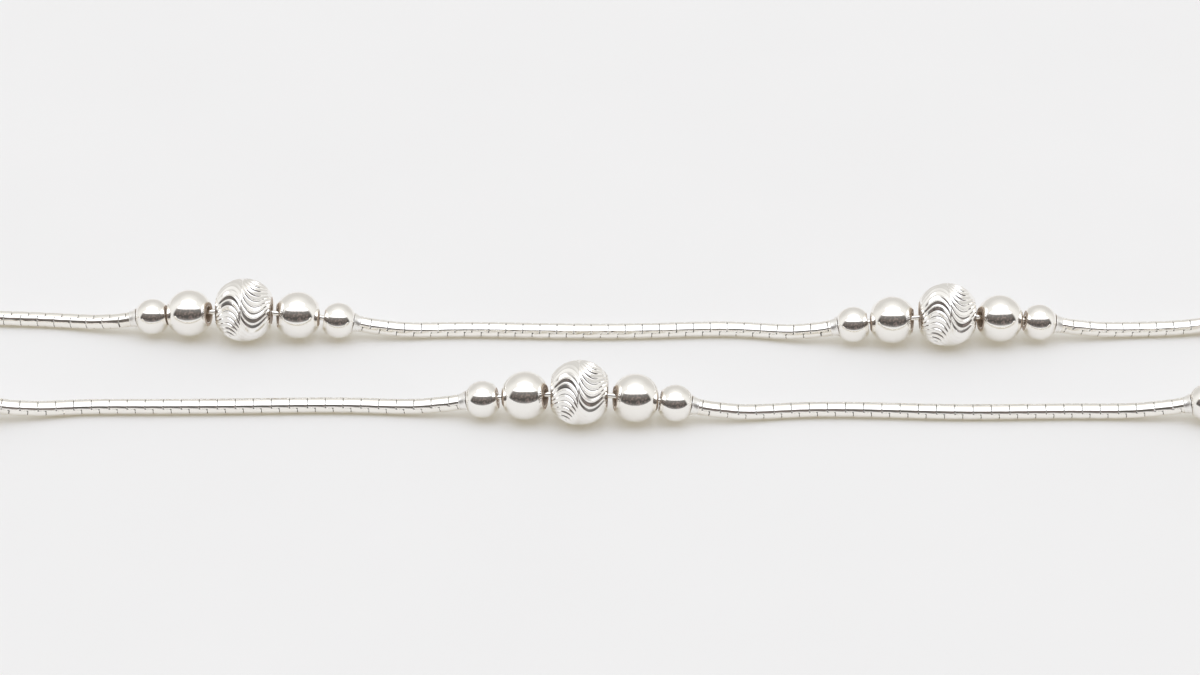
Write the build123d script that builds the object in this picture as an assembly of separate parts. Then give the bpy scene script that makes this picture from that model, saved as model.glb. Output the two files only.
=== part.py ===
from build123d import *
import functools
import math
import os

# Payal anklet: a closed loop of eight-sided snake chain with five groups of five silver beads,
# lying on a flat surface as a long narrow loop. Millimetres, +Z up, the surface is Z = 0.
# Distances along the loop run in the direction of travel: along the far strand towards +X,
# round the right-hand turn, back along the near strand and round the left-hand turn.

# ---- driving dimensions -------------------------------------------------------------------
chain_radius = 0.61          # eight-sided snake chain, 1.22 mm across its edges
chain_sides = 8
chain_bore = 0.45            # radius of the round hollow inside it
link_pitch = 1.31            # wanted distance between joints; every stretch divides evenly
tab_reach = 0.295            # how far a link's tabs pass the middle of a joint
tab_flare = 0.42             # widening of a tab towards its tip, per mm: it can't be pulled out
clearance = 0.13             # gap between two links of a straight chain
turn_step = 1.5              # joints are cut for their turn, rounded up to this many degrees
soldered_turn = 5.0          # the joint beside a soldered end is cut for this turn

wire_radius = 0.2            # wire that carries the five beads of a group
wire_crown = 2.25            # height of that wire in the middle of the group
wire_arc_radius = 41.8       # it sags towards both ends on an arc
joint_offset = 9.3           # from the middle of a group to its first chain joint
cup_length = 0.85            # soldered cup that closes the chain's end, from joint to bead side
cup_wall = 0.3
collar_length = 0.3          # the cup flares to a solder collar beside the small bead
collar_radius = 0.71
collar_neck = 0.63

eye_ring_radius = 0.87       # ring soldered to the chain's two free ends, to its wire's middle
eye_wire_radius = 0.2
eye_offset = 1.65            # from the last chain joint to the middle of the ring
eye_joint_height = 0.895
eye_rise_length = 5.0

hook_wire_radius = 0.4       # S-shaped hook that joins the two rings
hook_bend_radius = 1.3
hook_bar_length = 4.4
hook_tip_angle = 195         # degrees that each end curls round
hook_height = 0.94
hook_offset = math.hypot(hook_bar_length / 2, hook_bend_radius) + hook_bend_radius

wave_count = 30              # S-shaped flutes round the cut bead
wave_depth = 0.13
wave_swing = 25.0            # degrees that a flute swings to each side of its middle
wave_crest = 0.42            # where it swings furthest, as a share of the bead's radius
wave_return = 10.0           # degrees that it has swung back by where the bead is cut flat
wave_sections = 33

# ---- beads: truncated balls, flat where they are drilled ------------------------------------
# kind: (radius, half length, hole radius, height above the wire's middle)
beads = {
    "small": (1.375, 1.125, 0.36, -0.06),
    "medium": (1.8, 1.55, 0.62, -0.06),
    "cut": (2.4, 2.075, 0.51, 0.15),
}

# ---- groups: where the cut bead's middle stands, and how the beads sit along the wire --------
# The medium beads are loose on the wire, and each lies turned about its middle.
# number: (x, y, heading, small a, medium a, medium b, small b, turn of medium a, of medium b)
groups = {
    1: (-26.9, 0.2, -2.0, -7.05, -4.2, 4.05, 7.15, -10, 13),
    2: (26.2, -0.45, 1.2, -7.1, -4.15, 4.0, 7.05, -13, 11),
    3: (51.5, -10.8, 178.4, -7.1, -4.1, 4.1, 7.1, 11, -12),
    4: (-1.5, -10.45, 178.0, -7.05, -4.1, 4.0, 7.15, 11, -12),
    5: (-52.8, -11.1, 183.0, -7.15, -4.1, 4.1, 7.1, 12, -11),
}

# ---- clasp: middle of the hook and heading ---------------------------------------------------
clasp_place = (52.6, 0.9, 3.0)

# ---- chain: what each stretch joins, its twist at both ends, and the points it passes --------
# name: (from, to, roll at start, roll at end, ((x, y), ...))
stretches = {
    "chain_far_middle": (1, 2, 30, 30, ((-12.5, 0.1), (-4, 0), (4.5, 0.05), (12, 0.05))),
    "chain_far_right": (2, "clasp", 30, 30, ((39.5, 0.1), (44, 0.35))),
    "chain_right_turn": ("clasp", 3, -15, -30, ((61.8, 1.2), (65.7, -0.6), (67.4, -4.9),
                                                    (65.7, -9.3))),
    "chain_near_right": (3, 4, -30, -30, ((38, -10.35), (26, -10.4), (13, -10.3))),
    "chain_near_left": (4, 5, -30, -30, ((-16, -9.7), (-25, -9.65), (-35, -9.75),
                                          (-39.5, -9.95))),
    "chain_left_turn": (5, 1, -30, -15, ((-66.7, -8.9), (-68.0, -4.2), (-66.5, 0.4),
                                          (-62.2, 2.75), (-53, 2.4), (-44, 1.6),
                                          (-39.3, 1.1))),
}


# ---- joints of the snake chain ---------------------------------------------------------------
# Every joint is a ring of four tabs. Two tabs of the next link point back along +Y and -Y, and
# two tabs of this link point forward along +Z and -Z. All four are wider at their tips.
def joint_gaps(turn):
    """Gap past a tab's tip and beside a tab, for a joint that turns by so many degrees."""
    bend = math.sin(math.radians(turn))
    return clearance + chain_radius * bend, clearance + tab_reach * bend


def notch(floor, mouth, floor_widening, mouth_widening, direction):
    """Wedge of a quarter turn about X, open towards +Y, widened sideways at both ends."""
    depth = 2 * chain_radius
    triangles = []
    for x, widening in ((floor, floor_widening), (mouth, mouth_widening)):
        apex = -widening * math.sqrt(2)
        corners = [(x, apex, 0), (x, depth, depth - apex), (x, depth, apex - depth)]
        triangles.append(Wire.make_polygon(corners))
    return Rot(direction, 0, 0) * Solid.make_loft(triangles, ruled=True)


def joint_notches(x, turn, side):
    """The two notches at joint x: side +1 ends this link, side -1 begins the next one."""
    tip_gap, side_gap = joint_gaps(turn)
    floor = tab_reach + tip_gap / 2
    mouth = tab_reach + link_pitch / 4
    widenings = (side_gap / 2 + tab_flare * floor, side_gap / 2 - tab_flare * mouth)
    directions = (0, 180) if side > 0 else (90, 270)
    return [notch(x - side * floor, x + side * mouth, *widenings, d) for d in directions]


def rod(radius, start, end):
    """Cylinder along X."""
    return Pos(start, 0, 0) * (Rot(0, 90, 0) * Cylinder(
        radius, end - start, align=(Align.CENTER, Align.CENTER, Align.MIN)))


def eight_sided(start, end):
    """Eight-sided bar along X, with flats square to Y and Z and between them."""
    outline = RegularPolygon(chain_radius, chain_sides, rotation=180 / chain_sides)
    return extrude(Plane.YZ.offset(start) * outline, end - start)


@functools.cache
def link(length, start_turn, end_turn):
    """Hollow link along X between the joints at 0 and at its length."""
    start = -tab_reach + joint_gaps(start_turn)[0] / 2
    end = length + tab_reach - joint_gaps(end_turn)[0] / 2
    tube = eight_sided(start, end) - rod(chain_bore, start, end)
    for cutter in joint_notches(0, start_turn, -1) + joint_notches(length, end_turn, 1):
        tube -= cutter
    return tube.solid()


@functools.cache
def end_cup(side):
    """Closed cup with the tabs of the joint at 0. Side +1 sends the chain off towards +X."""
    tip = side * (tab_reach - joint_gaps(soldered_turn)[0] / 2)
    back = -side * cup_length
    low, high = sorted((back, tip))
    hollow = sorted((back + side * cup_wall, tip))
    cup = eight_sided(low, high) - rod(chain_bore, *hollow)
    for cutter in joint_notches(0, soldered_turn, side):
        cup -= cutter
    return cup.solid()


def rolled_frame(origin, direction, roll):
    """Frame with X along the direction, Z as upright as it can be, then rolled about X."""
    along = Vector(direction).normalized()
    up = Vector(0, 0, 1) - along * along.Z
    return Plane(origin, x_dir=along, z_dir=up.rotate(Axis((0, 0, 0), along), roll))


# ---- bead groups -----------------------------------------------------------------------------
def on_wire(distance):
    """Point and direction on a group's wire, in the group's own upright frame."""
    angle = distance / wire_arc_radius
    drop = wire_arc_radius * (1 - math.cos(angle))
    point = Vector(wire_arc_radius * math.sin(angle), 0, wire_crown - drop)
    return point, Vector(math.cos(angle), 0, -math.sin(angle))


def group_frame(number):
    x, y, heading = groups[number][:3]
    return Plane((x, y, 0), x_dir=Vector(1, 0, 0).rotate(Axis.Z, heading), z_dir=(0, 0, 1))


def plain_bead(radius, half_length, hole):
    ball = Sphere(radius) & rod(radius, -half_length, half_length)
    return ball - rod(hole, -half_length, half_length)


def wave_angle(share, flat_share):
    """Swing of a flute at a share of the bead's radius: one way, the other, and partly back."""
    if abs(share) < wave_crest:
        return wave_swing * math.sin(math.pi / 2 * share / wave_crest)
    past = (abs(share) - wave_crest) / (flat_share - wave_crest)
    return math.copysign(wave_swing - wave_return * past ** 2, share)


def cut_bead(radius, half_length, hole):
    """Ball with concave S-shaped flutes that meet in sharp ridges."""
    outlines = []
    for i in range(wave_sections):
        x = half_length * (2 * i / (wave_sections - 1) - 1)
        ridge = math.sqrt(radius ** 2 - x ** 2)
        valley = ridge - wave_depth * ridge / radius
        turn = wave_angle(x / radius, half_length / radius)
        step = 360 / wave_count
        arcs = []
        for k in range(wave_count):
            corners = [
                Vector(x, r, 0).rotate(Axis.X, turn + (k + part) * step)
                for part, r in ((0, ridge), (0.5, valley), (1, ridge))
            ]
            arcs.append(Edge.make_three_point_arc(*corners))
        outlines.append(Wire(arcs))
    return Solid.make_loft(outlines) - rod(hole, -half_length, half_length)


def bead_wire(number, roll_in, roll_out):
    """Wire of one group, with the soldered cups that hold the chain at both of its ends."""
    inner = joint_offset - cup_length + cup_wall / 2
    ends = [on_wire(s)[0] for s in (-inner, 0, inner)]
    path = Edge.make_three_point_arc(*ends)
    piece = sweep(Plane(ends[0], z_dir=path.tangent_at(0)) * Circle(wire_radius), path=path)
    for side, roll in ((-1, roll_in), (1, roll_out)):
        point, direction = on_wire(side * joint_offset)
        frame = rolled_frame(point, direction, roll)
        piece += frame.location * end_cup(side)
        flare = Cone(collar_radius, collar_neck, collar_length,
                     align=(Align.CENTER, Align.CENTER, Align.MIN))
        seat = frame.location * Pos(-side * cup_length, 0, 0) * Rot(0, side * 90, 0)
        piece += seat * flare
    return piece.solid()


def group_pieces(number, roll_in, roll_out):
    """The five beads of a group and their wire, by node name, in place."""
    frame = group_frame(number)
    small_a, medium_a, medium_b, small_b, turn_a, turn_b = groups[number][3:]
    rows = (("small_bead_{}a", "small", small_a, 0), ("medium_bead_{}a", "medium", medium_a, turn_a),
            ("cut_bead_{}", "cut", 0, 0), ("medium_bead_{}b", "medium", medium_b, turn_b),
            ("small_bead_{}b", "small", small_b, 0))
    pieces = {f"bead_wire_{number}": frame.location * bead_wire(number, roll_in, roll_out)}
    for name, kind, distance, turn in rows:
        point, direction = on_wire(distance)
        seat = rolled_frame(point + Vector(0, 0, beads[kind][3]), direction, 0)
        bead = seat.location * Rot(0, 0, turn) * bead_shapes[kind]
        pieces[name.format(number)] = frame.location * bead
    return pieces


# ---- clasp -----------------------------------------------------------------------------------
def clasp_frame():
    x, y, heading = clasp_place
    return Plane((x, y, 0), x_dir=Vector(1, 0, 0).rotate(Axis.Z, heading), z_dir=(0, 0, 1))


def eye_direction(side):
    """Direction of travel at an eye: up to the hook on side -1, and down again on side +1."""
    rise = 2 * (eye_joint_height - chain_radius) / eye_rise_length
    return Vector(1, 0, -side * rise).normalized()


def eye_joint(side):
    """Last chain joint before the hook (side -1) or first one after it (side +1)."""
    return Vector(side * (hook_offset + eye_offset), 0, eye_joint_height)


def clasp_eye(side, roll):
    """Closed cup on a free end of the chain, with the ring that the hook goes through."""
    frame = rolled_frame(eye_joint(side), eye_direction(side), roll)
    upright = rolled_frame(eye_joint(side), eye_direction(side), 0)
    ring = Rot(90, 0, 0) * Torus(eye_ring_radius, eye_wire_radius)
    ring_seat = upright.location * Pos(-side * eye_offset, 0, 0)
    return (frame.location * end_cup(side) + ring_seat * ring).solid()


def s_hook():
    """S of round wire: a straight bar with both ends curled round, to opposite sides."""
    half = hook_bar_length / 2
    bar = Edge.make_line((-half, 0, 0), (half, 0, 0))
    right = Edge.make_circle(hook_bend_radius, Plane((half, -hook_bend_radius, 0)),
                             90 - hook_tip_angle, 90)
    left = right.rotate(Axis.Z, 180)
    path = Wire([left, bar, right])
    piece = sweep(Plane(path @ 0, z_dir=path % 0) * Circle(hook_wire_radius), path=path)
    lean = math.degrees(math.atan2(hook_bend_radius, half))
    return Pos(0, 0, hook_height) * Rot(0, 0, lean) * piece.solid()


# ---- chain -----------------------------------------------------------------------------------
def stretch_end(place, side):
    """Joint and direction of travel where a stretch leaves (+1) or reaches (-1) its place."""
    if place == "clasp":
        frame, point, direction = clasp_frame(), eye_joint(side), eye_direction(side)
    else:
        frame = group_frame(place)
        point, direction = on_wire(side * joint_offset)
    return frame.from_local_coords(point), (frame.location * Pos(*direction)).position - frame.origin


def chain_route(name):
    """Joints of a stretch: its plan follows a smooth curve, and its ends rise to what they join."""
    start_place, end_place, _, _, passed = stretches[name]
    start, leaving = stretch_end(start_place, 1)
    end, arriving = stretch_end(end_place, -1)
    plan = Spline((start.X, start.Y), *passed, (end.X, end.Y), tangent_scalars=(1, 1),
                  tangents=((leaving.X, leaving.Y), (arriving.X, arriving.Y)))
    rises = []
    for point, direction in ((start, leaving), (end, arriving)):
        height = point.Z - chain_radius
        slope = abs(direction.Z) / math.hypot(direction.X, direction.Y)
        rises.append((height, 2 * height / slope))

    def at(distance):
        flat = plan.position_at(distance, position_mode=PositionMode.LENGTH)
        z = chain_radius
        for (height, length), away in zip(rises, (distance, plan.length - distance)):
            z += height * max(0, 1 - away / length) ** 2
        return Vector(flat.X, flat.Y, z)

    steps = 400
    points = [at(plan.length * i / steps) for i in range(steps + 1)]
    travelled = [0.0]
    for a, b in zip(points, points[1:]):
        travelled.append(travelled[-1] + (b - a).length)
    count = round(travelled[-1] / link_pitch)
    pitch = travelled[-1] / count
    joints = []
    for k in range(count + 1):
        wanted = min(k * pitch, travelled[-1])
        i = max(1, next(j for j, t in enumerate(travelled) if t >= wanted - 1e-9))
        share = (wanted - travelled[i - 1]) / (travelled[i] - travelled[i - 1])
        joints.append(points[i - 1] + (points[i] - points[i - 1]) * share)
    return joints, pitch, leaving, arriving


def chain(name):
    """All links of a stretch, loose and hooked into each other."""
    joints, pitch, leaving, arriving = chain_route(name)
    runs = [b - a for a, b in zip(joints, joints[1:])]
    directions = [leaving, *runs, arriving]
    turns = [a.get_angle(b) for a, b in zip(directions, directions[1:])]
    cut_for = [turn_step * math.ceil(turn / turn_step) for turn in turns]
    cut_for[0] = cut_for[-1] = soldered_turn
    start_roll, end_roll = stretches[name][2:4]
    links = []
    for k, run in enumerate(runs):
        roll = start_roll + (end_roll - start_roll) * (k + 0.5) / len(runs)
        slack = run.normalized() * ((run.length - pitch) / 2)
        frame = rolled_frame(joints[k] + slack, run, roll)
        links.append(frame.location * link(round(pitch, 4), cut_for[k], cut_for[k + 1]))
    print(f"{name}: {len(links)} links of {pitch:.3f}, sharpest turn {max(turns):.1f},"
          f" at the ends {turns[0]:.1f} and {turns[-1]:.1f}")
    return Compound(links)


# ---- the whole anklet ------------------------------------------------------------------------
bead_shapes = {kind: plain_bead(*beads[kind][:3]) for kind in ("small", "medium")}
bead_shapes["cut"] = cut_bead(*beads["cut"][:3])

roll_out = {stretch[0]: stretch[2] for stretch in stretches.values()}
roll_in = {stretch[1]: stretch[3] for stretch in stretches.values()}

pieces = {name: chain(name) for name in stretches}
for group in groups:
    pieces.update(group_pieces(group, roll_in[group], roll_out[group]))
clasp = clasp_frame().location
pieces["clasp_eye_a"] = clasp * clasp_eye(-1, roll_in["clasp"])
pieces["clasp_eye_b"] = clasp * clasp_eye(1, roll_out["clasp"])
pieces["clasp_hook"] = clasp * s_hook()

# The origin is on the surface, in the middle of the loop's box.
box = Compound([solid for piece in pieces.values() for solid in piece.solids()]).bounding_box()
middle = box.center()
os.makedirs("parts", exist_ok=True)
for name, piece in pieces.items():
    export_step(Pos(-middle.X, -middle.Y, -box.min.Z) * piece, f"parts/{name}.step")
print(f"box {box.size}, middle {middle}")
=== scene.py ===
"""Payal anklet: finely meshed silver snake chain, beads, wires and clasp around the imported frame."""
import math

import bpy
import numpy as np
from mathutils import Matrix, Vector


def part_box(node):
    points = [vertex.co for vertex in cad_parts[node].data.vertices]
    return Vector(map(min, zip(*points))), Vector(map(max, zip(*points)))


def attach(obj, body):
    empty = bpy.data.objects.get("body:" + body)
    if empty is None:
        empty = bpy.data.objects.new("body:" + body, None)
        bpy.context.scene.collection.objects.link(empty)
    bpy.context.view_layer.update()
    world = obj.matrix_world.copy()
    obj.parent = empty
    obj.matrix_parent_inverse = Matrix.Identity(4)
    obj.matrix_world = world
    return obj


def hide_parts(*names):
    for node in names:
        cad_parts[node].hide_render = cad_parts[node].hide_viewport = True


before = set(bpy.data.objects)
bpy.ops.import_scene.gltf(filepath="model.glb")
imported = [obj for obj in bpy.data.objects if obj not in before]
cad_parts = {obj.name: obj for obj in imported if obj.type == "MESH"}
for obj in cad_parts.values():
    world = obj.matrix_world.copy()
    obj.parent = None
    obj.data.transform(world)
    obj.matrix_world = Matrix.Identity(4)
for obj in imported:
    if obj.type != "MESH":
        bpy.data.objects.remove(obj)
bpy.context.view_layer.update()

MM = 0.001

# ---- sizes, in millimetres ---------------------------------------------------------------------
CHAIN_RADIUS = 0.61          # to the chain's eight edges
CHAIN_WALL = 0.15
CHAIN_SIDES = 8
LINK_LENGTH = 1.31           # usual distance between joints
TAB_REACH = 0.295            # a tab passes the middle of its joint by this much
TAB_FLARE = 0.06             # it widens towards its tip, per mm
TIP_SEAM = 0.05              # gap at a tab's tip
SIDE_SEAM = 0.004            # gap beside a tab
LINK_BEVEL = (0.012, 0.004)  # at the tabs' tips and sides
LINK_BARREL = 0.013          # how far a link's surface falls away towards its ends
TAB_CORNER = 0.10            # rounding of a tab's corners

WIRE_RADIUS = 0.2
WIRE_ARC_RADIUS = 41.8       # the beads' wire droops towards both ends on this arc
JOINT_OFFSET = 9.3           # from a cut bead's middle, along the wire, to the chain's first joint
CUT_ABOVE_WIRE = 0.15        # from the wire's middle up to a cut bead's
CUP_LENGTH = 0.85            # from a stretch's last joint to its cup's plain end
COLLAR_RADIUS = 0.76         # solder where it meets a bead
SOLDER_FLARE = [             # (distance from the solder's end, radius beyond the collar's)
    (0, -0.02), (0.01, 0), (0.04, -0.015), (0.1, -0.05), (0.17, -0.085), (0.25, -0.115),
    (0.35, -0.145), (0.45, -0.165), (0.55, -0.175),
]
SOLDER_HOLE = 0.3            # radius that the solder reaches inwards to
SOLDER_LENGTH = 0.58

EYE_RING_RADIUS = 0.87
EYE_WIRE_RADIUS = 0.2
EYE_OFFSET = 1.65            # from the ring's middle to the chain's last joint

HOOK_WIRE_RADIUS = 0.4
HOOK_BEND_RADIUS = 1.3
HOOK_BAR_LENGTH = 4.4
HOOK_TIP_ANGLE = 195         # degrees that each end of the hook bends round

BEADS = {  # kind: (radius, half length, hole radius, rounding at the holes)
    "small": (1.375, 1.125, 0.36, 0.09),
    "medium": (1.8, 1.55, 0.62, 0.08),
    "cut": (2.4, 2.075, 0.51, 0.05),
}
BORE_DEPTH = 0.25            # how far into a bead's hole the mesh goes
WAVE_COUNT = 30
WAVE_DEPTH = 0.14
WAVE_SWING = 28.0            # degrees to each side
WAVE_CREST = 0.42            # where a flute swings furthest, as a share of the bead's radius
FLUTE_ROUND = 1.4            # 2 for round flutes, 1 for flat-sided ones
WAVE_LEAN = 0.45             # how far a flute's lowest line moves to the inside of its arc

STRETCHES = {  # chain node: where it starts and ends, as (group, side) or a clasp eye
    "chain_far_middle": ((1, 1), (2, -1)),
    "chain_far_right": ((2, 1), "clasp_eye_a"),
    "chain_right_turn": ("clasp_eye_b", (3, -1)),
    "chain_near_right": ((3, 1), (4, -1)),
    "chain_near_left": ((4, 1), (5, -1)),
    "chain_left_turn": ((5, 1), (1, -1)),
}
EDGE_CRISPNESS = {  # exponent of the rounded eight-sided section at a stretch's start and end
    "chain_far_middle": (28, 28),
    "chain_far_right": (28, 24),
    "chain_right_turn": (20, 20),
    "chain_near_right": (13, 13),
    "chain_near_left": (15, 15),
    "chain_left_turn": (16, 4),
}
GROUPS = (1, 2, 3, 4, 5)

CAMERA_LENS = 104.75
CAMERA_HEIGHT_ANGLE = 35     # degrees above the floor
CAMERA_DISTANCE = 265.3
CAMERA_TARGET = (0.30, 4.91, 0)  # the place on the floor that the camera looks at


# ---- reading places from the frame ------------------------------------------------------------
def unit(vector):
    return vector / np.linalg.norm(vector)


def centre(node):
    """Middle of a node's box, in millimetres."""
    low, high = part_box(node)
    return np.array((low + high) / 2, float) / MM


def solids(node):
    """Vertices and triangles of each loose solid of a CAD node, in millimetres.

    Every vertex takes the lowest label among its triangles' vertices, until none changes.
    """
    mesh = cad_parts[node].data
    points = np.zeros(len(mesh.vertices) * 3)
    mesh.vertices.foreach_get("co", points)
    points = points.reshape(-1, 3) / MM
    mesh.calc_loop_triangles()
    corners = np.zeros(len(mesh.loop_triangles) * 3, int)
    mesh.loop_triangles.foreach_get("vertices", corners)
    _, first, same = np.unique(np.round(points, 4), axis=0, return_index=True, return_inverse=True)
    points = points[first]
    triangles = same.reshape(-1)[corners].reshape(-1, 3)
    label = np.arange(len(points))
    while True:
        lowest = label[triangles].min(1)
        new = label.copy()
        for k in range(3):
            np.minimum.at(new, triangles[:, k], lowest)
        new = new[new]
        if (new == label).all():
            break
        label = new
    return [(points[label == name], points[triangles[label[triangles[:, 0]] == name]])
            for name in np.unique(label)]


def volume_centre(faces):
    """Centre of mass of a closed solid from its triangles."""
    a, b, c = faces[:, 0], faces[:, 1], faces[:, 2]
    share = np.einsum("ij,ij->i", a, np.cross(b, c))
    return ((a + b + c) * share[:, None]).sum(0) / (4 * share.sum())


class Group:
    """A group of five beads: where it stands, and the arc that its wire follows."""

    def __init__(self, number):
        start, end = (centre(f"small_bead_{number}{side}") for side in "ab")
        self.middle = centre(f"cut_bead_{number}") - (0, 0, CUT_ABOVE_WIRE)
        self.forward = unit((end - start) * (1, 1, 0))

    def on_wire(self, distance):
        """Point and direction on the wire at a distance from the cut bead's middle."""
        angle = distance / WIRE_ARC_RADIUS
        along, drop = math.sin(angle), 1 - math.cos(angle)
        point = self.middle + WIRE_ARC_RADIUS * (along * self.forward - drop * np.array((0, 0, 1)))
        return point, math.cos(angle) * self.forward - np.array((0, 0, along))

    def seat(self, node):
        """Middle and direction of a bead, which is square to its drilled ends."""
        points, faces = solids(node)[0]
        across = np.cross(faces[:, 1] - faces[:, 0], faces[:, 2] - faces[:, 0])
        area = np.linalg.norm(across, axis=1)
        across = across / area[:, None]
        near_end = across @ self.forward > 0.95
        first = across[near_end][np.argmax(area[near_end])]
        flat = near_end & (across @ first > 0.9999)
        return centre(node), unit((across[flat] * area[flat, None]).sum(0))


groups = {number: Group(number) for number in GROUPS}


# ---- meshes -----------------------------------------------------------------------------------
class Build:
    """Vertices, faces and each face's material of one piece."""

    def __init__(self):
        self.points, self.faces, self.marks, self.count = [], [], [], 0

    def add(self, points, faces, mark=0):
        points = np.asarray(points, float).reshape(-1, 3)
        for block in faces if isinstance(faces, list) else [faces]:
            self.faces.append(np.asarray(block) + self.count)
            self.marks.append(np.broadcast_to(mark, len(block)))
        self.points.append(points)
        self.count += len(points)

    def piece(self, name, materials, slot, *nodes):
        """One smooth-shaded object, which stands for these CAD nodes."""
        mesh = bpy.data.meshes.new(name)
        points = np.concatenate(self.points) * MM
        faces = [face for block in self.faces for face in block.tolist()]
        mesh.from_pydata(points.tolist(), [], faces)
        for material in materials:
            mesh.materials.append(material)
        mesh.polygons.foreach_set("material_index", np.concatenate(self.marks).astype(np.int32))
        mesh.polygons.foreach_set("use_smooth", np.ones(len(faces), bool))
        mesh.update()
        thing = bpy.data.objects.new(name, mesh)
        bpy.context.scene.collection.objects.link(thing)
        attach(thing, "root")
        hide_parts(*nodes)
        return thing


def ring_faces(rows, steps, closed=False):
    """Quads between rings of points, one ring a row; closed joins the last ring to the first."""
    i, j = np.divmod(np.arange((rows if closed else rows - 1) * steps), steps)
    row, column, next_row, next_column = i, j, (i + 1) % rows, (j + 1) % steps
    return np.stack([row * steps + column, row * steps + next_column,
                     next_row * steps + next_column, next_row * steps + column], 1)


def axes_of(direction, roll=0.0):
    """Side and up across a direction. Up is as high as it can be, then rolled towards side."""
    along = unit(np.asarray(direction, float))
    up = unit(np.array((0, 0, 1.0)) - along * along[2])
    side = np.cross(up, along)
    c, s = math.cos(roll), math.sin(roll)
    return side * c - up * s, up * c + side * s


def turned(profile, place, direction, steps):
    """Points and faces of a closed profile of (along, radius) turned about an axis."""
    profile = np.asarray(profile, float)
    side, up = axes_of(direction)
    angle = np.linspace(0, 2 * math.pi, steps, endpoint=False)
    ring = np.cos(angle)[:, None] * side + np.sin(angle)[:, None] * up
    points = place + profile[:, 0, None, None] * unit(direction) + profile[:, 1, None, None] * ring
    return points, ring_faces(len(profile), steps, closed=True)[:, ::-1]


def wire(path, radii, steps):
    """Points and faces of a round wire with flat ends along a path of points."""
    path = np.asarray(path, float)
    angle = np.linspace(0, 2 * math.pi, steps, endpoint=False)
    points = []
    for place, direction, radius in zip(path, np.gradient(path, axis=0),
                                        np.broadcast_to(radii, len(path))):
        side, up = axes_of(direction)
        points.append(place + radius * (np.cos(angle)[:, None] * side
                                        + np.sin(angle)[:, None] * up))
    first = np.arange(steps)[None, :]
    last = first[:, ::-1] + (len(path) - 1) * steps
    return np.array(points), [ring_faces(len(path), steps)[:, ::-1], first, last]


def wire_ring(middle, out, up, ring_radius, wire_radius):
    """Points and faces of a ring of round wire in the plane of two directions."""
    turn = np.linspace(0, 2 * math.pi, 96, endpoint=False)[:, None, None]
    spoke = np.cos(turn) * out + np.sin(turn) * up
    angle = np.linspace(0, 2 * math.pi, 28, endpoint=False)[:, None]
    reach = ring_radius + wire_radius * np.cos(angle)
    points = middle + reach * spoke + wire_radius * np.sin(angle) * np.cross(up, out)
    return points, ring_faces(*points.shape[:2], closed=True)


# ---- the snake chain ---------------------------------------------------------------------------
def section(angle, radius, crispness):
    """Radius of the rounded eight-sided section at an angle from a flat's middle."""
    flats = np.arange(CHAIN_SIDES) * 2 * math.pi / CHAIN_SIDES
    inner = radius * math.cos(math.pi / CHAIN_SIDES)

    def nearness(at):
        return (np.clip(np.cos(at[..., None] - flats), 0, None) ** crispness).sum(-1)

    return inner * (nearness(np.zeros(1)) / nearness(angle)) ** (1 / crispness)


def quarter_columns():
    """Shares of a quarter's width, closer together at its two edges and at its borders."""
    half = np.array([0.0, 0.3, 0.43, 0.51, 0.59, 0.78, 0.975, 1.0])
    return np.concatenate([-half[:0:-1], half])


def corner_cut(x, half_width, radius):
    """How much shorter a tab is at x from its middle, so that its corners are rounded."""
    over = np.clip((np.abs(x) - (half_width - radius)) / radius, 0, 1)
    return radius * (1 - np.sqrt(1 - over ** 2))


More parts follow.
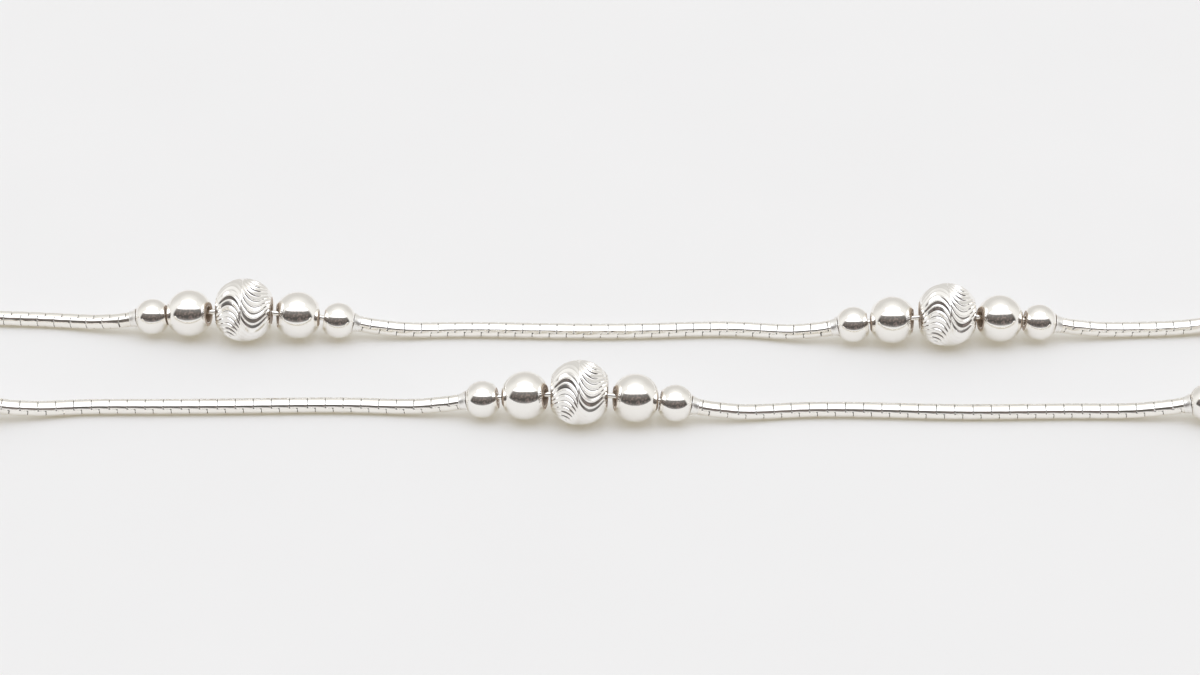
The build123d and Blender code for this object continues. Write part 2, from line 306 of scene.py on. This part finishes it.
def link_pattern(pitch, back_end=None):
    """One link's outer patch and edge loops, as (along, angle, depth) with faces.

    Along is measured from the link's middle. Quarters 0 and 2 carry the forward tabs, quarters
    1 and 3 the backward ones. With back_end, the link is a cup that ends there in a plain edge.
    """
    quarter = CHAIN_RADIUS * math.pi / 4
    half = pitch / 2
    floor = half - TAB_REACH - TIP_SEAM / 2
    tip = half + TAB_REACH - TIP_SEAM / 2
    columns = quarter_columns()
    base = quarter - TAB_FLARE * (TAB_REACH + TIP_SEAM / 2) - SIDE_SEAM / 2
    ring_rows = np.array([-1, -0.45, 0.45, 1.0])
    tab_rows = np.array([0.2, 0.5, 0.75, 0.92, 1.0])
    span = len(columns) - 1

    def halves(share, forward):
        """Half width of a quarter on the ring, from its back row (-1) to its front row (+1)."""
        front, back = (base, 2 * quarter - base) if forward else (2 * quarter - base, base)
        if back_end is not None:
            back = quarter
        return back + (front - back) * (share + 1) / 2

    start = -floor if back_end is None else back_end
    ring = []
    for share in ring_rows:
        x = start + (floor - start) * (share + 1) / 2
        row = []
        for k in range(4):
            width = halves(share, k % 2 == 0)
            for c in columns[:-1]:
                row.append((x, k * math.pi / 2 + c * width / CHAIN_RADIUS))
        ring.append(row)
    points = [p for row in ring for p in row]
    around = 4 * span
    faces = ring_faces(len(ring), around).tolist()

    def tab(k, row_start, direction):
        """Adds the tab of quarter k beyond a row of the ring; returns its outline, in order."""
        first = [row_start + (k * span + i) % around for i in range(span + 1)]
        lines = [first]
        reach = tip - floor
        for share in tab_rows:
            line = []
            for c in columns:
                x = floor + reach * share
                width = base + TAB_FLARE * (x - floor)
                arc = c * width
                cut = corner_cut(arc, width, TAB_CORNER) * share
                line.append(len(points))
                points.append((direction * (x - cut), k * math.pi / 2 + arc / CHAIN_RADIUS))
            lines.append(line)
        for low, high in zip(lines, lines[1:]):
            quads = [[low[i], low[i + 1], high[i + 1], high[i]] for i in range(span)]
            faces.extend(quad[::direction] for quad in quads)
        left = [line[0] for line in lines[1:]]
        right = [line[-1] for line in lines[-2::-1]]
        return left + lines[-1][1:-1] + [lines[-1][-1]] + right[:-1]

    def outline(row_start, direction):
        """Edge loop round all four quarters at one end of the link, with its two tabs."""
        loop = []
        for k in range(4):
            corner = row_start + k * span
            has_tab = (k % 2 == 0) == (direction > 0)
            if has_tab:
                loop += [corner, *tab(k, row_start, direction)]
            else:
                loop += range(corner, corner + span)
        return loop

    front = outline((len(ring) - 1) * around, 1)
    back = outline(0, -1) if back_end is None else list(range(around))
    return np.array(points), np.array(faces), [(front, 1), (back, -1)]


def inward_steps(plane, loop, direction):
    """Directions into the metal along an edge loop in the (along, arc) plane."""
    path = plane[loop]
    period = 2 * math.pi * CHAIN_RADIUS
    before, after = path - np.roll(path, 1, 0), np.roll(path, -1, 0) - path
    for step in (before, after):
        step[:, 1] = (step[:, 1] + period / 2) % period - period / 2
        step /= np.maximum(np.linalg.norm(step, axis=1), 1e-9)[:, None]
    mean = before + after
    mean /= np.maximum(np.linalg.norm(mean, axis=1), 1e-9)[:, None]
    stretch = 1 / np.clip((before * mean).sum(1), 0.6, 1)
    return direction * np.stack([-mean[:, 1], mean[:, 0]], 1) * stretch[:, None]


def link_shell(pitch, back_end=None):
    """(along, angle, depth) and faces of a closed link: outside, rounded edges, walls, inside."""
    flat, faces, loops = link_pattern(pitch, back_end)
    plane = flat * (1, CHAIN_RADIUS)
    outer = np.column_stack([plane, np.zeros(len(flat))])
    inner_start = len(flat) + 2 * sum(len(loop) for loop, _ in loops)
    shell, quads, total = [outer], [faces, faces[:, ::-1] + inner_start], len(flat)
    for loop, direction in loops:
        inward = inward_steps(plane, loop, direction) * LINK_BEVEL
        outer[loop, :2] = plane[loop] + inward
        rings = [loop]
        for inset, depth in ((0.3, 0.3), (0.0, 1.0)):  # shares of the bevel, along and into it
            moved = plane[loop] + inward * inset
            shell.append(np.column_stack([moved, np.full(len(loop), LINK_BEVEL[0] * depth)]))
            rings.append(list(range(total, total + len(loop))))
            total += len(loop)
        rings.append([inner_start + i for i in loop])
        for low, high in zip(rings, rings[1:]):
            wall = np.stack([low, np.roll(low, -1), np.roll(high, -1), high], 1)
            quads.append(wall if direction > 0 else wall[:, ::-1])
    shell.append(np.column_stack([plane, np.full(len(flat), CHAIN_WALL)]))
    points = np.concatenate(shell)
    points[:, 1] /= CHAIN_RADIUS
    return points, np.concatenate(quads)


def shell_radius(points, crispness):
    """Distance from the chain's middle line: eight-sided, and lower towards a link's ends."""
    along, angle, depth = points.T
    lean = np.cos(angle) ** 2
    reach = LINK_LENGTH / 2
    ends = [np.clip(np.abs(along - shift) / reach, 0, 1) ** 4 for shift in (TAB_REACH, -TAB_REACH)]
    barrel = LINK_BARREL * (lean * ends[0] + (1 - lean) * ends[1])
    return section(angle, CHAIN_RADIUS, crispness) - barrel - depth


class Route:
    """Middle line of a stretch of chain through its joints, with each link's roll."""

    def __init__(self, joints, leaving, arriving, rolls, crispness):
        self.joints, self.rolls, self.crispness = joints, rolls, crispness
        self.count = len(joints) - 1
        runs = joints[1:] - joints[:-1]
        self.pitch = np.linalg.norm(runs, axis=1).mean()
        tangents = np.zeros_like(joints)
        tangents[1:-1] = joints[2:] - joints[:-2]
        tangents[0], tangents[-1] = leaving, arriving
        self.tangents = tangents / np.linalg.norm(tangents, axis=1)[:, None] * self.pitch

    def at(self, t):
        """Points, directions and rolls at link numbers t; past its ends the line is straight."""
        k = np.clip(np.floor(t).astype(int), 0, self.count - 1)
        inside = np.clip(t, 0, self.count)
        u = (inside - k)[:, None]
        a, b = self.joints[k], self.joints[k + 1]
        v, w = self.tangents[k], self.tangents[k + 1]
        place = ((2 * u ** 3 - 3 * u ** 2 + 1) * a + (u ** 3 - 2 * u ** 2 + u) * v
                 + (3 * u ** 2 - 2 * u ** 3) * b + (u ** 3 - u ** 2) * w)
        direction = ((6 * u ** 2 - 6 * u) * a + (3 * u ** 2 - 4 * u + 1) * v
                     + (6 * u - 6 * u ** 2) * b + (3 * u ** 2 - 2 * u) * w)
        place = place + (t - inside)[:, None] * direction
        roll = np.interp(t, np.arange(self.count) + 0.5, self.rolls)
        return place, direction, roll

    def wrap(self, index, points):
        """Carries a link's (along, angle, depth) points onto the line, at link number index."""
        place, direction, roll = self.at(index + 0.5 + points[:, 0] / self.pitch)
        along = direction / np.linalg.norm(direction, axis=1)[:, None]
        up = np.array((0, 0, 1.0)) - along * along[:, 2:]
        up /= np.linalg.norm(up, axis=1)[:, None]
        side = np.cross(up, along)
        angle = points[:, 1] + roll
        start, end = self.crispness
        radius = shell_radius(points, start + (end - start) * (index + 0.5) / self.count)
        return place + radius[:, None] * (np.cos(angle)[:, None] * up
                                          + np.sin(angle)[:, None] * side)


def ring_of(eye):
    """Middle of a clasp eye's ring, under the ring's highest point."""
    points = np.array([v.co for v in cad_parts[eye].data.vertices]) / MM
    top = points[:, 2].max()
    crown = points[points[:, 2] > top - 0.02].mean(0)
    return np.array((crown[0], crown[1], top - EYE_RING_RADIUS - EYE_WIRE_RADIUS))


def terminal(place, near):
    """Joint and outward direction where a stretch is soldered on, given its nearest link."""
    if isinstance(place, str):
        middle = ring_of(place)
        outward = unit(near - middle)
        return middle + outward * EYE_OFFSET, outward
    number, side = place
    point, direction = groups[number].on_wire(side * JOINT_OFFSET)
    return point, side * direction


def link_roll(points, middle, direction):
    """Roll of a link: where its two forward tabs are, round its direction."""
    side, up = axes_of(direction)
    away = points - middle
    along = away @ unit(direction)
    tips = away[along > along.max() - 0.08]
    angle = np.arctan2(tips @ side, tips @ up)
    return 0.5 * math.atan2(np.sin(2 * angle).sum(), np.cos(2 * angle).sum())


def read_route(node):
    """Route of a chain node, read from its links' places in the frame."""
    links = solids(node)
    middles = np.array([volume_centre(faces) for _, faces in links])
    start, end = STRETCHES[node]
    guess = ring_of(start) if isinstance(start, str) else groups[start[0]].on_wire(
        start[1] * JOINT_OFFSET)[0]
    order, here, left = [], guess, list(range(len(links)))
    while left:
        nearest = min(left, key=lambda i: np.linalg.norm(middles[i] - here))
        order.append(nearest)
        left.remove(nearest)
        here = middles[nearest]
    middles = middles[order]
    first, leaving = terminal(start, middles[0])
    last, backward = terminal(end, middles[-1])
    between = (middles[1:] + middles[:-1]) / 2
    joints = between.copy()
    joints[1:-1] += (2 * between[1:-1] - between[2:] - between[:-2]) / 4
    joints = np.vstack([first, joints, last])
    runs = joints[1:] - joints[:-1]
    rolls = [link_roll(links[i][0], middles[k], runs[k]) for k, i in enumerate(order)]
    rolls = np.unwrap(2 * np.array(rolls)) / 2
    return Route(joints, leaving, -backward, rolls, EDGE_CRISPNESS[node])


routes = {node: read_route(node) for node in STRETCHES}


def make_chain(node):
    """All links of a stretch, hooked into each other."""
    route, build = routes[node], Build()
    points, faces = link_shell(route.pitch)
    for index in range(route.count):
        build.add(route.wrap(index, points), faces[:, ::-1])
    build.piece(f"{node}_links", [chain_silver], "chain_silver", node)


def soldered_end(build, reach, joint, outward, roll, crispness):
    """Cup with tabs that closes the chain's end, and solder that flares out to its end at reach."""
    route = Route(np.array([joint - outward * LINK_LENGTH, joint]), outward, outward,
                  np.array([roll]), (crispness, crispness))
    points, faces = link_shell(LINK_LENGTH, back_end=LINK_LENGTH / 2 - CUP_LENGTH)
    build.add(route.wrap(0, points), faces[:, ::-1])
    profile = [(CUP_LENGTH - 0.28, SOLDER_HOLE), (reach, SOLDER_HOLE)]
    profile += [(reach - x, COLLAR_RADIUS + r) for x, r in SOLDER_FLARE]
    profile += [(reach - SOLDER_LENGTH, 0.5)]
    build.add(*turned([(-x, r) for x, r in profile], joint, outward, 48), 1)


# ---- bead groups -------------------------------------------------------------------------------
def rounded(corners, radius, steps=4):
    """Profile through corner points, with all but the first and last rounded."""
    corners = [np.array(c, float) for c in corners]
    line = [corners[0]]
    for before, corner, after in zip(corners, corners[1:], corners[2:]):
        a = corner + unit(before - corner) * min(radius, np.linalg.norm(before - corner) / 2)
        b = corner + unit(after - corner) * min(radius, np.linalg.norm(after - corner) / 2)
        for t in np.linspace(0, 1, steps):
            line.append((1 - t) ** 2 * a + 2 * t * (1 - t) * corner + t ** 2 * b)
    return line + [corners[-1]]


def plain_bead_profile(radius, half_length, hole, edge):
    """(along, radius) of a truncated ball: the drilled flat, its rounded edge, and the ball."""
    flat = math.sqrt(radius ** 2 - half_length ** 2)
    angle = math.asin(flat / radius) + edge / radius
    end = rounded([(-half_length + BORE_DEPTH, hole), (-half_length, hole), (-half_length, flat),
                   (-radius * math.cos(angle), radius * math.sin(angle))], edge * 0.6)
    ball = [(-radius * math.cos(a), radius * math.sin(a))
            for a in np.linspace(angle, math.pi - angle, 32)[1:-1]]
    return np.array([*end, *ball, *((-x, r) for x, r in end[::-1])])


def make_plain_bead(node, kind):
    """Smooth bead, unpolished at its drilled ends and in its hole, which are tan: partly stains,
    partly painted shade of the narrow gaps between beads.
    """
    _, half_length, hole, _ = BEADS[kind]
    place, direction = groups[int(node.split("_")[-1][:-1])].seat(node)
    profile = plain_bead_profile(*BEADS[kind])
    steps = 72
    points, faces = turned(profile, place, direction, steps)
    drilled = (np.abs(profile[:, 0]) > half_length - 0.004) | (profile[:, 1] < hole + 0.01)
    # faces at the drilled ends and in the hole get the tan material, whose colour is partly painted
    # shade
    unpolished_and_shaded = drilled[np.stack([faces.min(1) // steps, faces.max(1) // steps])].all(0)
    build = Build()
    build.add(points, faces, unpolished_and_shaded.astype(int))
    build.piece(f"{node}_polished", [bead_silver, unpolished_shaded_silver], "bead_silver", node)


def wave_angle(share):
    """Swing of a flute at a share of the bead's radius, in radians: two round arcs."""
    past = min(abs(share) / WAVE_CREST, 1.98)  # 1 at an arc's top, and 2 where it would close
    arc = math.sqrt(1 - (1 - past) ** 2)
    rise = (arc + math.sin(math.pi / 2 * past)) / 2
    return math.radians(WAVE_SWING) * math.copysign(rise, share)


def flute(part, lean):
    """Depth across a flute, 0 at both ridges and 1 at its lowest line, which lies towards lean."""
    low = 0.5 + 0.5 * WAVE_LEAN * lean
    rise = np.where(part < low, (low - part) / low, (part - low) / (1 - low))
    return 1 - rise ** FLUTE_ROUND


def make_cut_bead(node):
    """Ball with concave S-shaped flutes that meet in sharp ridges."""
    radius, half_length, hole, edge = BEADS["cut"]
    place, direction = groups[int(node.split("_")[-1])].seat(node)
    per_flute = np.array([0, 0.05, 0.12, 0.22, 0.35, 0.5, 0.65, 0.78, 0.88, 0.95])
    part = np.tile(per_flute, WAVE_COUNT)
    angle = (np.arange(WAVE_COUNT)[:, None] + per_flute).ravel() * 2 * math.pi / WAVE_COUNT
    side, up = axes_of(direction)
    along = unit(direction)
    rows = []

    def row(x, reach, turn=0.0):
        """One ring of points at x, turned about the bead's axis."""
        around = np.cos(angle + turn)[:, None] * side + np.sin(angle + turn)[:, None] * up
        rows.append(place + x * along + np.reshape(reach, (-1, 1)) * around)

    def fluted(share, scale=1.0):
        """Fluted ring; flutes are shallower where they climb steeply."""
        x = share * radius
        ridge = math.sqrt(radius ** 2 - x ** 2)
        step = 0.004
        climb = (wave_angle(share + step) - wave_angle(share - step)) / (2 * step)
        lean = -math.sin(math.pi / 2 * max(-1, min(1, share / WAVE_CREST)))
        depth = WAVE_DEPTH * ridge / radius / math.hypot(1, 0.8 * climb)
        row(x, (ridge - depth * flute(part, lean)) * scale, wave_angle(share))

    bore = np.full(len(part), hole)
    flat = half_length / radius
    row(-half_length + BORE_DEPTH, bore)
    row(-half_length, bore)
    for scale in (0.9, 0.965):
        fluted(-flat, scale)
    spread = np.linspace(-1, 1, 41)
    middle = np.sign(spread) * np.abs(spread) ** 2.2 * 0.3  # closest where the flutes are steep
    last = flat - edge / radius / 2
    for share in np.concatenate([np.linspace(-last, middle[0], 16)[:-1], middle,
                                 np.linspace(middle[-1], last, 16)[1:]]):
        fluted(share)
    for scale in (0.965, 0.9):
        fluted(flat, scale)
    row(half_length, bore)
    row(half_length - BORE_DEPTH, bore)
    steps = len(part)
    faces = ring_faces(len(rows), steps, closed=True)[:, ::-1]
    line = faces.min(1) // steps
    # the end rows and the hole get the tan material, whose colour is partly painted shade of the gaps
    # between beads
    unpolished_and_shaded = (line < 2) | (line > len(rows) - 4)
    build = Build()
    build.add(np.array(rows), faces, unpolished_and_shaded.astype(int))
    build.piece(f"{node}_waves", [cut_silver, unpolished_shaded_silver], "cut_silver", node)


def soldered_ends(place):
    """Joint, outward direction, roll and crispness where the chain is soldered to a place."""
    found = []
    for node, (start, end) in STRETCHES.items():
        route = routes[node]
        if start == place:
            found.append((route.joints[0], unit(route.tangents[0]), route.rolls[0],
                          route.crispness[0]))
        if end == place:
            found.append((route.joints[-1], -unit(route.tangents[-1]),
                          math.pi / 2 - route.rolls[-1], route.crispness[1]))
    return found


def make_bead_wire(number):
    """Wire of one group with the soldered cups at both of its ends."""
    group, build = groups[number], Build()
    reach = JOINT_OFFSET - CUP_LENGTH + 0.1
    path = [group.on_wire(s)[0] for s in np.linspace(-reach, reach, 90)]
    build.add(*wire(path, WIRE_RADIUS, 24))
    for side, letter in ((-1, "a"), (1, "b")):
        bead = centre(f"small_bead_{number}{letter}")
        for found in soldered_ends((number, side)):
            free = (found[0] - bead) @ found[1] - BEADS["small"][1]
            soldered_end(build, free - 0.01, *found)
    node = f"bead_wire_{number}"
    build.piece(f"{node}_drawn", [wire_silver, solder_silver], "wire_silver", node)


# ---- clasp -------------------------------------------------------------------------------------
def make_eye(node):
    """Ring soldered to a cup on a free end of the chain."""
    build = Build()
    end, = soldered_ends(node)
    soldered_end(build, CUP_LENGTH + 0.05, *end)
    outward = unit(end[1])
    build.add(*wire_ring(ring_of(node), outward, axes_of(outward)[1], EYE_RING_RADIUS,
                         EYE_WIRE_RADIUS))
    build.piece(f"{node}_ring", [wire_silver, solder_silver], "wire_silver", node)


def make_hook():
    """S of round wire with rounded tips."""
    place = centre("clasp_hook")
    heading = unit((ring_of("clasp_eye_b") - ring_of("clasp_eye_a")) * (1, 1, 0))
    left = np.array((-heading[1], heading[0], 0))
    half = HOOK_BAR_LENGTH / 2
    lean = math.atan2(HOOK_BEND_RADIUS, half)
    along = heading * math.cos(lean) + left * math.sin(lean)
    across = left * math.cos(lean) - heading * math.sin(lean)
    tip = np.radians((90, 70, 50, 35, 20, 8))  # angles of the points on a tip's rounding
    tip_turns = (math.radians(HOOK_TIP_ANGLE)
                 - HOOK_WIRE_RADIUS * (1 - np.cos(tip)) / HOOK_BEND_RADIUS)
    turns = np.concatenate([np.linspace(0, tip_turns[0], 60)[:-1], tip_turns])
    bend = [(half + HOOK_BEND_RADIUS * math.sin(a), HOOK_BEND_RADIUS * (math.cos(a) - 1))
            for a in turns]
    bar = [(x, 0) for x in np.linspace(-half, half, 24)[1:-1]]
    plan = [(-x, -y) for x, y in bend[::-1]] + bar + bend
    radii = np.full(len(plan), HOOK_WIRE_RADIUS)
    radii[-len(tip):] *= np.sin(tip)
    radii[:len(tip)] = radii[:-len(tip) - 1:-1]
    path = [place + x * along + y * across for x, y in plan]
    build = Build()
    build.add(*wire(path, radii, 40))
    build.piece("clasp_hook_polished", [wire_silver], "wire_silver", "clasp_hook")


# ---- materials ---------------------------------------------------------------------------------
MIX_COLOURS = (6, 7)         # a mix node's sockets for colours
MIX_RESULT = 2


class Shader:
    """Principled material with short calls for its nodes."""

    def __init__(self, name, **settings):
        self.material = bpy.data.materials.new(name)
        self.material.use_nodes = True
        self.tree = self.material.node_tree
        self.body = self.tree.nodes["Principled BSDF"]
        for socket, value in settings.items():
            self.body.inputs[socket.title()].default_value = value
        self.place = self.node("ShaderNodeTexCoord").outputs["Object"]

    def node(self, kind, **settings):
        made = self.tree.nodes.new(kind)
        for name, value in settings.items():
            setattr(made, name, value)
        return made

    def link(self, source, target):
        self.tree.links.new(source, target)

    def noise(self, scale, detail=3.0, roughness=0.5, stretch=(1, 1, 1)):
        """Noise with this many features per millimetre."""
        mapping = self.node("ShaderNodeMapping")
        mapping.inputs["Scale"].default_value = [s / MM for s in stretch]
        self.link(self.place, mapping.inputs["Vector"])
        noise = self.node("ShaderNodeTexNoise")
        for name, value in (("Scale", scale), ("Detail", detail), ("Roughness", roughness)):
            noise.inputs[name].default_value = value
        self.link(mapping.outputs["Vector"], noise.inputs["Vector"])
        return noise.outputs["Fac"]

    def spread(self, source, low, high, start=0.3, end=0.7):
        """Carries a noise from start..end to low..high."""
        node = self.node("ShaderNodeMapRange")
        for name, value in (("From Min", start), ("From Max", end), ("To Min", low),
                            ("To Max", high)):
            node.inputs[name].default_value = value
        self.link(source, node.inputs["Value"])
        return node.outputs["Result"]

    def mix(self, share, first, second):
        """Colour between two colours."""
        node = self.node("ShaderNodeMix", data_type="RGBA")
        self.link(share, node.inputs["Factor"])
        for place, colour in zip(MIX_COLOURS, (first, second)):
            node.inputs[place].default_value = (*colour, 1)
        return node.outputs[MIX_RESULT]

    def bump(self, height, depth, under=None):
        """Bump whose height runs over depth millimetres."""
        node = self.node("ShaderNodeBump")
        node.inputs["Strength"].default_value = 1
        node.inputs["Distance"].default_value = depth * MM
        self.link(height, node.inputs["Height"])
        if under:
            self.link(under, node.inputs["Normal"])
        return node.outputs["Normal"]

    def into(self, name, source):
        self.link(source, self.body.inputs[name])


def silver(name, colour, dull, roughness, dents, scratches):
    """Polished silver: a little uneven, with fine scratches and duller patches."""
    shader = Shader(name, metallic=1.0)
    patches = shader.noise(0.35, 4)
    shader.into("Base Color", shader.mix(shader.spread(patches, 0, 1), colour, dull))
    shader.into("Roughness", shader.spread(shader.noise(1.6, 5, 0.65), *roughness))
    waves = shader.bump(shader.noise(0.8, 1.5), dents)
    fine = shader.bump(shader.noise(9, 4, 0.6, stretch=(1, 6, 1)), scratches, under=waves)
    shader.into("Normal", fine)
    return shader.material


chain_silver = silver("chain silver", (0.975, 0.952, 0.905), (0.955, 0.925, 0.87),
                      (0.05, 0.12), 0.012, 0.0006)
bead_silver = silver("bead silver", (0.975, 0.955, 0.915), (0.955, 0.93, 0.885),
                     (0.03, 0.08), 0.006, 0.0004)
cut_silver = silver("cut silver", (0.985, 0.968, 0.94), (0.965, 0.945, 0.91),
                    (0.015, 0.045), 0.002, 0.0003)
wire_silver = silver("wire silver", (0.97, 0.945, 0.895), (0.93, 0.895, 0.83),
                     (0.08, 0.18), 0.006, 0.0008)
solder_silver = silver("solder silver", (0.98, 0.965, 0.935), (0.95, 0.93, 0.89),
                       (0.3, 0.42), 0.01, 0.0008)


def unpolished_and_shaded():
    """Unpolished silver at the beads' drilled ends: matt, and tan, partly from stains and partly
    painted shade of the narrow gaps between the beads and inside their holes.
    """
    shader = Shader("raw silver", metallic=0.35)
    # tan colour: stains, and painted shade of the narrow gaps between beads and of the holes
    stains_and_shade = shader.spread(shader.noise(2.5, 5, 0.6), 0, 1)
    shader.into("Base Color", shader.mix(stains_and_shade, (0.58, 0.46, 0.36), (0.80, 0.70, 0.60)))
    shader.into("Roughness", shader.spread(shader.noise(4, 4), 0.45, 0.6))
    shader.into("Normal", shader.bump(shader.noise(12, 4), 0.002))
    return shader.material


# material of the drilled ends: unpolished, with painted tan shade
unpolished_shaded_silver = unpolished_and_shaded()


# ---- pieces ------------------------------------------------------------------------------------
for stretch in STRETCHES:
    make_chain(stretch)
for number in GROUPS:
    make_bead_wire(number)
    make_cut_bead(f"cut_bead_{number}")
    for side in "ab":
        make_plain_bead(f"small_bead_{number}{side}", "small")
        make_plain_bead(f"medium_bead_{number}{side}", "medium")
for eye in ("clasp_eye_a", "clasp_eye_b"):
    make_eye(eye)
make_hook()


# ---- floor, light and camera -------------------------------------------------------------------
FLOOR_GLOW = (0.20, 0.175, 0.115)    # warm light that the sheet itself gives


def make_floor():
    """Pale matt sheet that the anklet lies on, glowing a little."""
    half = 1.5
    mesh = bpy.data.meshes.new("floor")
    mesh.from_pydata([(-half, -half, 0), (half, -half, 0), (half, half, 0), (-half, half, 0)],
                     [], [(0, 1, 2, 3)])
    sheet = bpy.data.objects.new("floor", mesh)
    bpy.context.scene.collection.objects.link(sheet)
    shader = Shader("pale sheet", roughness=0.9)
    shader.body.inputs["Specular IOR Level"].default_value = 0.15
    shader.body.inputs["Emission Color"].default_value = (*FLOOR_GLOW, 1)
    shader.body.inputs["Emission Strength"].default_value = 1
    grain = shader.spread(shader.noise(0.05, 3), 0, 1)
    shader.into("Base Color", shader.mix(grain, (0.683, 0.696, 0.737), (0.693, 0.706, 0.747)))
    shader.into("Normal", shader.bump(shader.noise(3, 3), 0.002))
    mesh.materials.append(shader.material)


TENT_TOP = (1.94, 2.03, 2.2)
STUDIO = {  # side seen from the anklet: (degrees above the floor, red, green, blue), ...
    "front": [(0, 0.40, 0.40, 0.40), (5, 0.19, 0.185, 0.18), (12, 0.105, 0.10, 0.095),
              (19, 0.085, 0.08, 0.075), (25, 0.11, 0.10, 0.095), (32, 0.145, 0.13, 0.12),
              (38, 0.18, 0.165, 0.155), (46, 0.19, 0.185, 0.18), (51, 0.25, 0.245, 0.24),
              (53.5, 0.5, 0.49, 0.48), (56, 1.1, 1.1, 1.09), (58, *TENT_TOP)],
    "side": [(0, 0.90, 0.895, 0.88), (55, 0.98, 0.975, 0.96), (67, *TENT_TOP)],
    "back": [(0, 0.73, 0.715, 0.69), (20, 0.69, 0.68, 0.66), (33, 0.70, 0.69, 0.67),
             (44, 0.79, 0.78, 0.765), (54, 0.87, 0.865, 0.85), (63, 0.98, 0.975, 0.96),
             (71, 1.15, 1.15, 1.14), (82, 1.3, 1.3, 1.3), (89, *TENT_TOP)],
}
FRONT_EDGE = (72, 84)        # headings, in degrees from the camera's, between the sides
BACK_EDGE = (95, 135)
GLINT_COLOUR = (0.05, 0.035, 0.033, 1)
GLINT_RANGE = (0.52, 0.6)    # of the noise, from no glint to a full one


def make_studio():
    """Light tent: a bright top, a pale back and sides, and a dark front round the camera."""
    world = bpy.data.worlds.new("studio")
    world.use_nodes = True
    bpy.context.scene.world = world
    tree = world.node_tree
    link = tree.links.new

    def node(kind, inputs=(), **settings):
        made = tree.nodes.new(kind)
        for name, value in settings.items():
            setattr(made, name, value)
        for place, value in enumerate(inputs):
            if hasattr(value, "is_output"):
                link(value, made.inputs[place])
            elif value is not None:
                made.inputs[place].default_value = value
        return made

    def maths(operation, *inputs):
        return node("ShaderNodeMath", inputs, operation=operation).outputs[0]

    def edge(heading, start, end):
        inputs = (heading, math.radians(start), math.radians(end))
        return node("ShaderNodeMapRange", inputs, interpolation_type="SMOOTHSTEP").outputs[0]

    def mix(share, first, second, blend_type="MIX"):
        made = node("ShaderNodeMix", data_type="RGBA", blend_type=blend_type)
        link(share, made.inputs["Factor"])
        for place, value in zip(MIX_COLOURS, (first, second)):
            if isinstance(value, tuple):
                made.inputs[place].default_value = value
            else:
                link(value, made.inputs[place])
        return made.outputs[MIX_RESULT]

    def ramp(height, stops):
        made = node("ShaderNodeValToRGB", [height])
        elements = made.color_ramp.elements
        while len(elements) < len(stops):
            elements.new(0.5)
        for element, (angle, *colour) in zip(elements, stops):
            element.position = angle / 90
            element.color = (*(c / max(TENT_TOP) for c in colour), 1)
        return made.outputs["Color"]

    def height(width):
        """Angle above the floor as a share of 90 degrees; width 0 makes level edges straight."""
        wide = maths("MULTIPLY", maths("MULTIPLY", x, x), width)
        flat = maths("SQRT", maths("ADD", wide, maths("MULTIPLY", y, y)))
        return maths("DIVIDE", maths("ARCTAN2", z, flat), math.pi / 2)

    direction = node("ShaderNodeTexCoord").outputs["Generated"]
    x, y, z = node("ShaderNodeSeparateXYZ", [direction]).outputs
    heading = maths("ARCTAN2", maths("ABSOLUTE", x), maths("MULTIPLY", y, -1.0))
    blotches = node("ShaderNodeTexNoise", noise_dimensions="3D")
    link(direction, blotches.inputs["Vector"])
    blotches.inputs["Scale"].default_value = 6
    blotches.inputs["Detail"].default_value = 2
    glints = node("ShaderNodeMapRange", (blotches.outputs["Fac"], *GLINT_RANGE, 0.0, 1.0))
    front = mix(glints.outputs[0], ramp(height(0.2), STUDIO["front"]), GLINT_COLOUR, "ADD")
    side, back = (ramp(height(1.0), STUDIO[name]) for name in ("side", "back"))
    colour = mix(edge(heading, *FRONT_EDGE), front, mix(edge(heading, *BACK_EDGE), side, back))
    background = tree.nodes["Background"]
    link(colour, background.inputs["Color"])
    background.inputs["Strength"].default_value = max(TENT_TOP)


def make_camera():
    """Long lens from the front, looking down at the anklet's middle."""
    camera = bpy.data.objects.new("camera", bpy.data.cameras.new("camera"))
    bpy.context.scene.collection.objects.link(camera)
    bpy.context.scene.camera = camera
    camera.data.sensor_width = 36
    camera.data.lens = CAMERA_LENS
    camera.data.clip_start = 0.01
    tilt = math.radians(CAMERA_HEIGHT_ANGLE)
    away = Vector((0, -math.cos(tilt), math.sin(tilt)))
    camera.location = Vector(CAMERA_TARGET) * MM + away * CAMERA_DISTANCE * MM
    camera.rotation_euler = (math.pi / 2 - tilt, 0, 0)


make_floor()
make_studio()
make_camera()
bpy.context.scene.view_settings.view_transform = "Standard"
